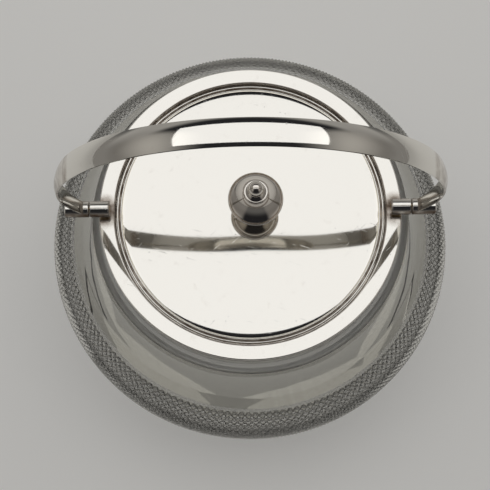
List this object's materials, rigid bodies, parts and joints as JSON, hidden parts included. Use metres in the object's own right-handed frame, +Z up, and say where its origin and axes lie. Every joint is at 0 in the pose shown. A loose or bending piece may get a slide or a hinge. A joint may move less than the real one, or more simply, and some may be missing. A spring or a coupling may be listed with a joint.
{
  "type": "biscuit jar",
  "caption": "Squat cut-glass biscuit barrel with a diamond-cut belly, a silver-plated collar, a lift-off domed lid with a turned finial knob, and a swing bail handle.",
  "frame": {"origin": "middle of the flat base that the jar stands on", "axes": "+Z up; +X along the bail's pivot axis to the right as pictured; +Y away from the camera"},
  "size_m": [0.1566, 0.1566, 0.1818],
  "materials": {
    "lead_glass": "clear polished glass, diamond-cut round the belly",
    "silver_plate": "polished silver plate, fine scratches and light tarnish",
    "solder": "dull soft solder, tarnished brown",
    "pin_brass": "plain turned brass",
    "plaster": "matt cream plaster"
  },
  "bodies": {
    "jar": {"glass_body": "lead_glass", "collar_cement": "plaster", "collar": "silver_plate", "lug_cradle_left": "solder", "lug_cradle_right": "solder", "lug_left": "silver_plate", "lug_right": "silver_plate", "pivot_pin_left": "pin_brass", "pivot_pin_right": "pin_brass"},
    "lid": {"lid_disc": "silver_plate", "lid_flange": "silver_plate", "knob_base": "silver_plate", "knob_cap": "silver_plate", "knob_tip": "silver_plate", "knob_stud": "pin_brass", "knob_washer": "pin_brass", "knob_nut": "pin_brass"},
    "bail": {"bail_strip": "silver_plate", "knuckle_left": "silver_plate", "knuckle_right": "silver_plate"}
  },
  "joints": [
    {"name": "bail_swing", "type": "hinge", "parent": "jar", "child": "bail", "pos_m": [0, 0, 0.0991], "axis": [1, 0, 0], "range_deg": [-112, 112]},
    {"name": "lid_lift", "type": "slide", "parent": "jar", "child": "lid", "axis": [0, 0, 1], "range_m": [0, 0.035]}
  ]
}
